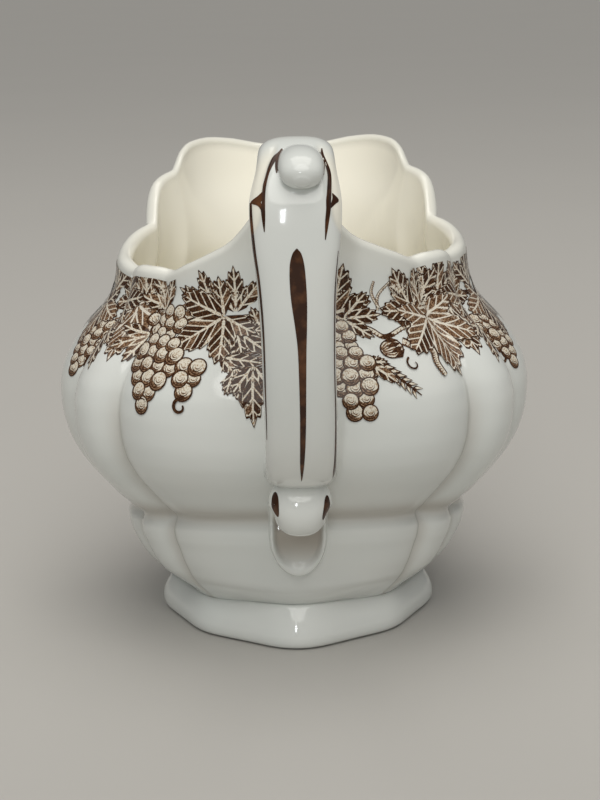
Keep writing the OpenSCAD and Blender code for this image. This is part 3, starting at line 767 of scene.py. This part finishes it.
class Sheet:
    """One sheet of transfer: flat motifs laid one over another and wrapped on the body."""

    def __init__(self):
        self.points, self.faces, self.slots = [], [], []
        self.count = 0
        self.height = 0

    def place(self, parts, angle, z, turn=0.0, size=1.0):
        """Lays a motif's parts down, its origin at (angle, z), turned anticlockwise."""
        c, s = math.cos(math.radians(turn)), math.sin(math.radians(turn))
        for grid, closed, slot, level in parts:
            x = size * (grid[..., 0] * c - grid[..., 1] * s)
            y = size * (grid[..., 0] * s + grid[..., 1] * c)
            arc = np.interp(z, ARC_Z, ARC_S) + y
            zz = np.interp(arc, ARC_S, ARC_Z)
            a = angle + np.degrees(x / plain_r(np.full(x.shape, float(angle)), zz))
            zz = np.minimum(zz, lip_z(a) - BELOW_LIP)
            p = on_body(a, zz, np.full(x.shape, INK_LIFT + LAYER * (self.height + level)))
            rows, cols = x.shape
            faces = grid_faces(rows, cols, closed)
            f = np.stack([x, y], -1).reshape(-1, 2)[faces]
            following = np.roll(f, -1, 1)
            area = np.sum(f[:, :, 0] * following[:, :, 1] - following[:, :, 0] * f[:, :, 1])
            if area < 0:
                faces = faces[:, ::-1]
            self.points.append(p.reshape(-1, 3))
            self.faces.append(faces + self.count)
            self.slots.append(np.full(len(faces), slot))
            self.count += rows * cols
        self.height += 1 + max(part[3] for part in parts)

    def finish(self, name, node):
        return make_piece(name, np.concatenate(self.points), np.concatenate(self.faces), PRINT,
                          np.concatenate(self.slots), node)


def resample(line, closed=False, step=STEP):
    """Points along a polyline no further apart than step."""
    line = np.asarray(line, float)
    if closed:
        line = np.vstack([line, line[:1]])
    out = []
    for p, q in zip(line[:-1], line[1:]):
        n = max(1, math.ceil(np.linalg.norm(q - p) / step))
        out += [p + (q - p) * k / n for k in range(n)]
    if not closed:
        out.append(line[-1])
    return np.array(out)


def blob(outline, slot, level=0):
    """A filled star-shaped outline: rings from the middle out."""
    edge = resample(outline, True)
    middle = edge.mean(0)
    n = max(1, math.ceil(np.max(np.linalg.norm(edge - middle, axis=1)) / STEP))
    grid = np.stack([middle + (edge - middle) * max(k / n, 0.02) for k in range(n + 1)])
    return grid, True, slot, level


def band(left, right, slot, level=0, closed=False):
    """The strip between two lines with the same number of points."""
    return np.stack([np.asarray(right), np.asarray(left)]), closed, slot, level


def ribbon(line, width, slot, level=0, taper=1.0):
    """A line with a width that tapers towards its end."""
    line = resample(line, step=0.6)
    d = np.gradient(line, axis=0)
    d /= np.linalg.norm(d, axis=1, keepdims=True) + 1e-9
    normal = np.stack([-d[:, 1], d[:, 0]], -1)
    w = width / 2 * (1 - taper * np.linspace(0, 1, len(line))**2) + 0.02
    return band(line + normal * w[:, None], line - normal * w[:, None], slot, level)


def circle(r, x=0.0, y=0.0, start=0, stop=360, n=18):
    """Points of a circle, or of an arc from start to stop."""
    t = np.linspace(start, stop, n, endpoint=(stop - start) < 360)
    return np.stack([x + r * cos_deg(t), y + r * sin_deg(t)], -1)


def crescent(x, y, outer, inner, start, stop, slot, level):
    """Two arcs that meet at their ends, thickest in the middle."""
    t = np.linspace(start, stop, 11)
    thick = (outer - inner) * np.sin(np.linspace(0, np.pi, 11)) + 0.02
    edge = np.stack([cos_deg(t), sin_deg(t)], -1)
    middle = np.array([x, y])
    return band(middle + edge * outer, middle + edge * (outer - thick)[:, None], slot, level)


def berry(x, y, r, level):
    """One grape: a dark rim, heavier low on the left, and engraved arcs round a light spot."""
    low = rng.uniform(150, 190)
    return [blob(circle(r * 1.14, x, y), DARK, level),
            blob(circle(r * 0.90, x + 0.05 * r, y + 0.07 * r), WASH, level + 1),
            crescent(x, y, r * 0.96, r * 0.46, low - 10, low + 180, HALF, level + 2),
            crescent(x, y, r * 0.84, r * 0.70, low, low + 150, DARK, level + 3),
            crescent(x + 0.04 * r, y + 0.06 * r, r * 0.58, r * 0.46, low - 20, low + 200, DARK, level + 3),
            crescent(x + 0.08 * r, y + 0.12 * r, r * 0.36, r * 0.24, low, low + 190, HALF, level + 3)]


def grapes(rows, r=1.5, lean=0.0):
    """A hanging cluster: rows of touching berries."""
    parts = []
    for i, n in enumerate(rows):
        for k in range(n):
            x = (k - (n - 1) / 2) * r * 1.78 + lean * i + rng.uniform(-0.15, 0.15)
            y = -i * r * 1.5 + rng.uniform(-0.15, 0.15)
            parts += berry(x, y, r * rng.uniform(0.88, 1.1), 4 * ((i * 2 + k) % 3))
    return parts


def leaf_radius(theta, lobes, teeth):
    """Distance from the stalk to the leaf's toothed edge in direction theta."""
    r = np.full(np.shape(theta), 0.24)
    for axis, length, spread in lobes:
        x = np.clip(np.abs(theta - axis) / spread, 0, 1)
        r = np.maximum(r, length * (1 - 0.60 * x**1.25))
    saw = (theta / teeth + 0.5) % 1.0
    return r * (0.95 + 0.13 * (1 - np.abs(2 * saw - 1)))


def from_stalk(r, theta):
    """A leaf's point at distance r from its stalk, theta round from its tip."""
    return np.stack([-r * sin_deg(theta), r * cos_deg(theta)], -1)


def leaf(size, lobes, teeth, light, wash=WASH):
    """A leaf with its stalk at the origin and its tip up: a pale blade with dark cells between veins."""
    reach = max(abs(axis) + spread * 0.85 for axis, _, spread in lobes)
    theta = np.linspace(-reach, reach, 121)
    edge = leaf_radius(theta, lobes, teeth)
    rings = np.stack([from_stalk(edge * k, theta) for k in np.linspace(0.02, 1, max(4, int(size / STEP)))])
    parts = [(rings * size, False, wash, 0)]
    rim = 0.34 / size
    outside, inside = from_stalk(edge + rim / 3, theta), from_stalk(edge - rim, theta)
    parts.append(band(outside * size, inside * size, DARK, 1))
    for axis, length, _ in lobes:
        for side in (-1, 1):
            near = [abs(other[0] - axis) / 2 for other in lobes if (other[0] - axis) * side > 0]
            limit = min(near) if near else reach - abs(axis)
            n = max(3, round(length * size / 2.15))
            pale = rng.random() < light
            for i in range(n):
                share = ((i + 0.09) / n, (i + 0.91) / n)
                cell = leaf_cell(axis, length, side, limit, share, lobes, teeth, size)
                if cell is not None:
                    tone = HALF if pale or rng.random() < 0.18 else DARK
                    parts.append(blob(cell * size, tone, 1))
    return parts


def leaf_cell(axis, length, side, limit, share, lobes, teeth, size):
    """One dark cell between two side veins of a lobe, out to the edge or to the next lobe's share."""
    direction = from_stalk(1.0, axis)
    across = from_stalk(1.0, axis + 90 * side)
    out = direction * 0.74 + across * 0.67
    vein = 0.22 / size * (1.5 - share[0])
    sides = []
    for t in share:
        start = direction * length * t + across * vein
        way = np.linspace(0.0, 1.2, 80)[:, None]
        reach = start + out * way + direction * 0.6 * way**2
        theta = np.degrees(np.arctan2(-reach[:, 0], reach[:, 1]))
        edge = leaf_radius(theta, lobes, teeth)
        bad = (np.abs(theta - axis) > limit * 0.95) | (np.hypot(*reach.T) > edge - 0.40 / size)
        sides.append((start, reach[max(int(np.argmax(bad)) - 1, 0)]))
    (a, b), (d, c) = sides
    if np.linalg.norm(b - a) < 0.25 / size and np.linalg.norm(c - d) < 0.25 / size:
        return None
    middle = (b + c) / 2 + out * 0.25 * np.linalg.norm(c - b)
    theta = math.degrees(math.atan2(-middle[0], middle[1]))
    edge = float(leaf_radius(np.array(theta), lobes, teeth)) - 0.30 / size
    middle *= min(1.0, edge / np.hypot(*middle))
    return np.array([a, b, middle, c, d])


# direction of each lobe from the stalk, its length, half its spread
VINE_LOBES = [(0, 1.0, 40), (58, 0.86, 38), (-58, 0.86, 38), (116, 0.64, 36), (-116, 0.64, 36)]
SLIM_LOBES = [(0, 1.0, 24), (36, 0.60, 34), (-36, 0.60, 34)]
PLUME_LOBES = [(0, 1.0, 30), (42, 0.92, 28), (-42, 0.92, 28)]


def vine(size, light=0.2, wash=WASH):
    """A broad leaf; light is the share of its lobe halves that are pale."""
    return leaf(size, VINE_LOBES, 9.0, light, wash)


def slim(size, light=0.2):
    """A narrow leaf."""
    return leaf(size, SLIM_LOBES, 8.0, light)


def plume(size, light=0.2):
    """A three-lobed leaf that stands up from the stem."""
    return leaf(size, PLUME_LOBES, 8.0, light)


def wheat(n=8):
    """An ear of wheat, tip up, from its stalk at the origin: paired grains with light centres."""
    parts = [ribbon([[0, -1], [0, n * 1.45 + 2]], 0.4, DARK, 0, 0.5)]
    for i in range(n):
        for side in (-1, 1):
            base = np.array([side * 0.12, 1.0 + i * 1.45])
            d = np.array([side * 0.50, 0.866])
            w = np.array([d[1], -d[0]]) * (0.80 - 0.05 * i)
            tip = base + d * (3.2 - 0.12 * i)
            parts.append(blob([base, base + d * 0.8 + w, tip, base + d * 0.8 - w], DARK, 1 + (i % 2) * 2))
            core = base + d * 0.45
            grain = [core, core + d * 0.55 + w * 0.5, core + d * 1.75, core + d * 0.55 - w * 0.5]
            parts.append(blob(grain, WASH, 2 + (i % 2) * 2))
    return parts


def tendril(turns=1.2, size=3.0, width=0.5):
    """A thin curl that winds inwards."""
    t = np.linspace(0, turns * 2 * np.pi, 34)
    r = size * (1 - 0.7 * t / t[-1])
    return [ribbon(np.stack([r * np.sin(t), size - r * np.cos(t)], -1), width, DARK, 0, 0.6)]


def stem(points, width=1.1):
    """A woody stem through points: dark edges, a paler core and short hatching across."""
    line = along(np.asarray(points, float), np.linspace(0, len(points) - 1, 9 * len(points)))
    parts = [ribbon(line, width, DARK, 0, 0.35), ribbon(line, width * 0.58, WASH, 1, 0.35)]
    d = np.gradient(line, axis=0)
    d /= np.linalg.norm(d, axis=1, keepdims=True)
    for k in range(2, len(line) - 2, 2):
        q = np.array([-d[k, 1], d[k, 0]]) * width * 0.5
        parts.append(ribbon([line[k] - q, line[k] - q + (q + d[k] * 0.3) * 1.1], 0.24, HALF, 2, 0.6))
    return parts


def filbert(size=1.0):
    """A nut in its husk, its tip up: ribbed, with a ragged collar."""
    egg = circle(1.0, n=24) * np.array([1.9, 2.3])
    parts = [blob(egg * 1.06, DARK, 0), blob(egg * 0.93, WASH, 1)]
    for x in (-1.3, -0.75, -0.2, 0.35, 0.9, 1.4):
        parts.append(ribbon([[x * 0.5, 2.0], [x, 0.3], [x * 0.75, -1.6]], 0.26, HALF, 2, 0.5))
    for x in (-1.7, -0.6, 0.6, 1.7):
        parts.append(blob([[x - 0.6, -0.9], [x * 1.1, 0.8], [x + 0.6, -0.9], [x * 0.6, -2.3]], DARK, 3))
    return [(g * size, c, tone, level) for g, c, tone, level in parts]


def hatching(wide, high, pitch=0.55, slant=0.35):
    """Engraved shading: slanting dark lines across an oval."""
    parts = []
    for i, y in enumerate(np.arange(-high / 2 + pitch, high / 2, pitch)):
        half = wide / 2 * math.sqrt(1 - (2 * y / high)**2) * (1.0 if i % 2 else 0.86)
        line = [[-half, y - slant * half], [half, y + slant * half]]
        parts.append(ribbon(line, 0.42, DARK if i % 3 else HALF, 0, 0.3))
    return parts


def garland(name, node, items):
    """A sheet from a list of (motif parts, angle, z, turn), each over the one before."""
    sheet = Sheet()
    for parts, angle, z, turn in items:
        sheet.place(parts, angle, z, turn)
    sheet.finish(name, node)


def mirrored(name, node, side, items):
    """A sheet for one side, 1 right or -1 left: motif parts, angle, z, turn, and a lean that mirrors."""
    garland(name, node, [(parts, side * a, z, turn + side * lean) for parts, a, z, turn, lean in items])


garland("print_rear_left", "vine_rear_left", [
    (stem([[-9, -1], [-3, 0.5], [3, 0], [10, 1]]), -26, 71.6, 0),
    (hatching(15, 6), -38, 70.1, 10),
    (hatching(9, 9), -10.5, 64.1, 0),
    (slim(8.5, 0), -19, 65.1, 262),
    (plume(9, 0), -24, 73.1, 66),
    (plume(8.5, 0), -17, 73.1, 4),
    (vine(8, 0), -9, 69.6, 268),
    (slim(9.5, 0), -16, 69.6, 236),
    (grapes([3, 4, 3], 1.6), -40.5, 72, 0),
    (vine(12, 0), -20.5, 72.1, 128),
    (slim(9, 0), -14.5, 63.1, 205),
    (slim(11.5, 0), -10, 63.6, 184),
    (plume(7.5, 0.4), -43, 72.1, 28),
    (plume(7.5, 0.2), -46, 67.1, 118),
    (grapes([3, 4, 4, 3, 2, 1], 1.8, 0.2), -38, 66.5, 0),
    (grapes([2, 2, 1], 1.7), -26, 63, 0),
    (tendril(0.9, 1.8, 0.7), -25.5, 57.6, 160)])

garland("print_rear_right", "vine_rear_right", [
    (stem([[-6, 4], [0, 1], [3, -1], [8, 0.5], [12, -0.5]], 1.3), 22, 68.5, 0),
    (hatching(9, 12), 11.5, 66, 0),
    (stem([[0, 0], [0.6, 3], [3.8, 5.6]], 0.7), 26, 72.5, 0),
    (stem([[0, 0], [-1.2, 3], [-0.6, 5.4]], 0.7), 26.5, 73, 0),
    (vine(9.5, 0), 12, 72.5, -14),
    (plume(7.5, 0), 15, 71.5, -88),
    (grapes([2, 3, 3], 1.5), 12, 70, 0),
    (stem([[0, 0], [3, -1.6], [5.6, 0.6], [8.4, -0.6], [9.6, -2]], 2), 30.5, 66.6, 0),
    (stem([[0, 0], [2.6, 1.5], [5, -0.4], [7.8, 0.5]], 1.8), 32, 69.5, 0),
    (filbert(1.1), 26.5, 65.6, 105),
    (wheat(), 18.5, 64.8, 227),
    (slim(7), 18.5, 63.8, 228),
    (grapes([3, 4, 3, 3, 2, 2], 1.65, 0.5), 12.5, 65.4, 0),
    (vine(9.5, 0), 39, 71.5, 26),
    (plume(8.5, 0.1), 43.5, 72, -34),
    (stem([[0, 0], [0.9, -2.6], [0.3, -5.2], [1.2, -8]], 2), 37.5, 66, 0),
    (vine(13, 0.9, LIGHT), 44, 69.5, 184),
    (tendril(0.8, 1.6, 0.4), 30, 63.8, 200)])

for side, turned in (("left", -1), ("right", 1)):
    mirrored("print_side_" + side, "vine_side_" + side, turned, [
        (stem([[-22, 1], [-14, -1], [-5, 1], [5, -1], [14, 1], [22, 0]]), 78, 71, 0, 0),
        (hatching(14, 9), 60, 69, 0, 0),
        (hatching(14, 9), 86, 69, 0, 0),
        (vine(12.5, 0.9, LIGHT), 54, 72.5, 180, -4),
        (plume(8.5, 0), 51, 73.5, 0, -12),
        (vine(9.5, 0.2), 64, 72, 0, 16),
        (slim(9.5, 0), 63, 67, 180, -24),
        (grapes([3, 4, 4, 3, 2, 1], 1.5), 73, 66.5, 0, 0),
        (vine(10), 81, 70, 180, -14),
        (plume(8.5, 0), 77, 73, 0, 4),
        (plume(8.5), 87, 72, 0, -18),
        (wheat(7), 93, 68, 180, 38),
        (vine(9, 0.2), 99, 71, 0, 20),
        (slim(8.5, 0), 103, 68, 180, -10),
        (filbert(0.9), 96, 66, 0, -70),
        (tendril(1.1, 2.2, 0.6), 68, 61, 200, 0)])
    mirrored("print_front_" + side, "vine_front_" + side, turned, [
        (stem([[-22, 0], [-12, 1.5], [-3, -1], [6, 1], [15, 0]]), 143, 70, 0, 0),
        (hatching(14, 9), 130, 68.5, 0, 0),
        (hatching(14, 9), 158, 68.5, 0, 0),
        (vine(9.5, 0), 120, 70.5, 0, -10),
        (vine(9.5, 0.3), 124, 68, 180, 14),
        (plume(8.5, 0), 129, 71, 0, 10),
        (grapes([3, 4, 4, 3, 2, 1], 1.5), 136, 67, 0, 0),
        (vine(10, 0.2), 141, 71, 0, -12),
        (slim(9.5, 0), 147, 68, 180, 14),
        (plume(8.5, 0), 151, 71, 0, 8),
        (wheat(7), 155, 67, 180, -32),
        (vine(9.5), 161, 71, 0, 18),
        (plume(8.5), 165, 67, 180, 0),
        (grapes([2, 3, 2, 1], 1.4), 171, 67, 0, 0),
        (plume(8, 0), 172, 71, 0, 4),
        (tendril(1.1, 2.2, 0.6), 131, 60.5, 200, 0)])


# ---------------------------------------------------------------- painted strokes

def stroke(points, lift=0.05):
    """A brush stroke on the strap: rows of t along it, x of its middle, half width."""
    across = 15
    rows = along(np.asarray(points, float), np.linspace(0, len(points) - 1, 20 * len(points)))
    u = np.linspace(-1, 1, across)
    t = np.broadcast_to(rows[:, 0:1], (len(rows), across))
    x = rows[:, 1:2] + u * np.maximum(rows[:, 2:3], 0.03)
    return strap_face(t, x, lift)


def painted(name, node, grids):
    """One piece of brushwork from strokes, each a grid of points that faces out of the handle."""
    middle = np.array([1.0, Y_SHIFT - 57, 80])  # a point inside the handle's bow
    points, faces, count = [], [], 0
    for grid in grids:
        rows, cols = grid.shape[:2]
        f = grid_faces(rows, cols, False)
        half = rows // 2
        f = away_from(middle, f, grid[half, 0], grid[half, 1], grid[half + 1, 0])
        points.append(grid.reshape(-1, 3))
        faces.append(f + count)
        count += rows * cols
    make_piece(name, np.concatenate(points), np.concatenate(faces), [BRUSH], node=node)


painted("teardrop_stroke", "centre_stroke", [stroke([
    [6.12, 0.1, 0.1], [6.24, 0.1, 0.8], [6.5, 0.1, 1.3], [6.9, 0.2, 1.46], [7.3, 0.35, 1.4],
    [7.8, 0.55, 1.05], [8.3, 0.62, 0.76], [9.3, 0.5, 0.6], [10.4, 0.3, 0.52], [11.2, 0.12, 0.4],
    [11.8, 0.05, 0.16], [12.0, 0, 0.05]])])
painted("thumb_strokes_left", "thumb_line_left", [
    stroke([[3.72, -2.5, 0.1], [3.85, -2.75, 0.5], [3.98, -3.55, 0.75], [4.12, -4.3, 0.6],
            [4.4, -5.05, 0.34], [4.75, -5.65, 0.40], [5.1, -5.8, 0.42], [5.4, -5.7, 0.32],
            [5.72, -5.6, 0.08]]),
    stroke([[3.86, -2.9, 0.2], [4.07, -3.15, 0.42], [4.23, -3.25, 0.45], [4.41, -3.4, 0.1]], 0.08),
    stroke([[4.80, -5.9, 0.15], [4.88, -6.3, 0.5], [4.95, -6.8, 0.95], [5.0, -7.0, 1.05], [5.05, -6.9, 0.8],
            [5.12, -6.3, 0.4], [5.22, -5.95, 0.2]], 0.07)])
painted("thumb_strokes_right", "thumb_line_right", [
    stroke([[3.6, 4.7, 0.1], [3.78, 4.75, 0.3], [3.95, 5.1, 0.42], [4.2, 5.75, 0.42],
            [4.44, 6.05, 0.36], [4.84, 6.02, 0.40], [5.06, 5.9, 0.45], [5.24, 5.85, 0.42],
            [5.53, 5.55, 0.34], [5.93, 5.2, 0.08]]),
    stroke([[3.95, 4.55, 0.2], [4.2, 4.8, 0.36], [4.46, 4.95, 0.1]], 0.08),
    stroke([[4.84, 6.6, 0.1], [4.94, 7.1, 0.5], [5.02, 7.1, 0.6], [5.1, 6.7, 0.4], [5.2, 6.2, 0.2]], 0.07)])
painted("edge_stroke_left", "edge_line_left", [stroke([
    [5.0, -8.0, 0.2], [5.5, -7.9, 0.26], [6.2, -7.45, 0.26], [7.0, -6.7, 0.22], [8.0, -6.28, 0.18],
    [9.5, -6.35, 0.12], [10.6, -6.4, 0.05]])])
painted("edge_stroke_right", "edge_line_right", [stroke([
    [6.2, 7.5, 0.05], [7.2, 6.8, 0.12], [8.5, 6.45, 0.1], [10.0, 6.45, 0.12], [11.3, 6.35, 0.2],
    [12.0, 6.3, 0.3], [12.6, 6.1, 0.1]])])


def scroll_dot(name, node, side, lon, lat, wide, high):
    """A painted oval on the end of the lower scroll."""
    t = np.arange(0, 360, 15.0)
    lift = 0.03
    rings = [scroll_point(side * (lon + k * wide * cos_deg(t)), lat + k * high * sin_deg(t), lift)
             for k in (0.03, 0.35, 0.7, 1.0)]
    points = np.concatenate(rings)
    faces = grid_faces(len(rings), len(t), True)
    faces = away_from(SCROLL_AT + np.array([0, Y_SHIFT, 0]), faces, *points[faces[0][:3]])
    make_piece(name, points, faces, [BRUSH], node=node)


scroll_dot("scroll_dot_brush_left", "scroll_dot_left", -1, 49, 20, 12, 34)
scroll_dot("scroll_dot_brush_right", "scroll_dot_right", 1, 55, 7, 12, 38)


# ---------------------------------------------------------------- stage, lights, camera

FLOOR_COLOUR = (0.52, 0.505, 0.475, 1)
WORLD_COLOUR, WORLD_STRENGTH = (0.90, 0.905, 0.91, 1), 0.19


def floor():
    """A wide disc just under the foot, its colour faintly clouded."""
    mat, tree, shader = node_material("pale_floor")
    shader.inputs["Roughness"].default_value = 0.65
    darker = tuple(c * 0.97 for c in FLOOR_COLOUR[:3]) + (1,)
    tree.links.new(mix(tree, noise(tree, 6), FLOOR_COLOUR, darker), shader.inputs["Base Color"])
    bpy.ops.mesh.primitive_circle_add(vertices=96, radius=12.0, fill_type="NGON", location=(0, 0, -0.0002))
    disc = bpy.context.object
    disc.name = "floor"
    disc.data.materials.append(mat)


def area_light(name, place, target, size, power, colour):
    """A rectangular light at place that looks at target, in metres and watts."""
    data = bpy.data.lights.new(name, "AREA")
    data.shape = "RECTANGLE"
    data.size, data.size_y = size
    data.energy = power
    data.color = colour
    light = put(name, data)
    place, target = np.array(place), np.array(target)
    d = target - place
    back = -d / np.linalg.norm(d)
    right = np.cross([0, 0, 1], back)
    right /= np.linalg.norm(right)
    up = np.cross(back, right)
    light.matrix_world = Matrix([[*r] for r in np.column_stack([right, up, back]).tolist()]).to_4x4()
    light.location = place.tolist()


def sun(name, rise, turn, strength, spread, colour):
    """Even light from far away: rise above the floor and turn from behind the camera, in degrees."""
    data = bpy.data.lights.new(name, "SUN")
    data.energy = strength
    data.angle = math.radians(spread)
    data.color = colour
    light = put(name, data)
    light.rotation_euler = (math.radians(90 - rise), 0, math.radians(turn))


floor()
sun("overhead", 54, 0, 1.62, 52, (1.0, 0.98, 0.94))
area_light("ceiling", (0, 0.12, 1.0), (0, 0.1, 0.1), (0.8, 0.8), 3.4, (1.0, 0.97, 0.92))
area_light("window", (-0.12, -1.20, 0.42), (0, 0, 0.08), (0.07, 0.25), 1.35, (0.93, 0.97, 1.0))

world = bpy.data.worlds.new("studio")
bpy.context.scene.world = world
world.use_nodes = True
background = world.node_tree.nodes["Background"]
background.inputs["Color"].default_value = WORLD_COLOUR
background.inputs["Strength"].default_value = WORLD_STRENGTH
bpy.context.scene.view_settings.view_transform = "Standard"


CAMERA_PLACE = (0.0012, (Y_SHIFT - 424.4) * MM, 0.1446)
CAMERA_DOWN, CAMERA_LEAN = 13, -1.0  # degrees


def camera():
    """Behind the handle and a little above, leaning one degree, as the jug was seen."""
    data = bpy.data.cameras.new("camera")
    data.lens = 90.0
    data.sensor_width = 36.0
    data.clip_start = 0.01
    cam = put("camera", data)
    down = Matrix.Rotation(math.radians(90 - CAMERA_DOWN), 4, "X")
    lean = Matrix.Rotation(math.radians(CAMERA_LEAN), 4, "Z")
    cam.matrix_world = Matrix.Translation(CAMERA_PLACE) @ (down @ lean)
    bpy.context.scene.camera = cam


camera()
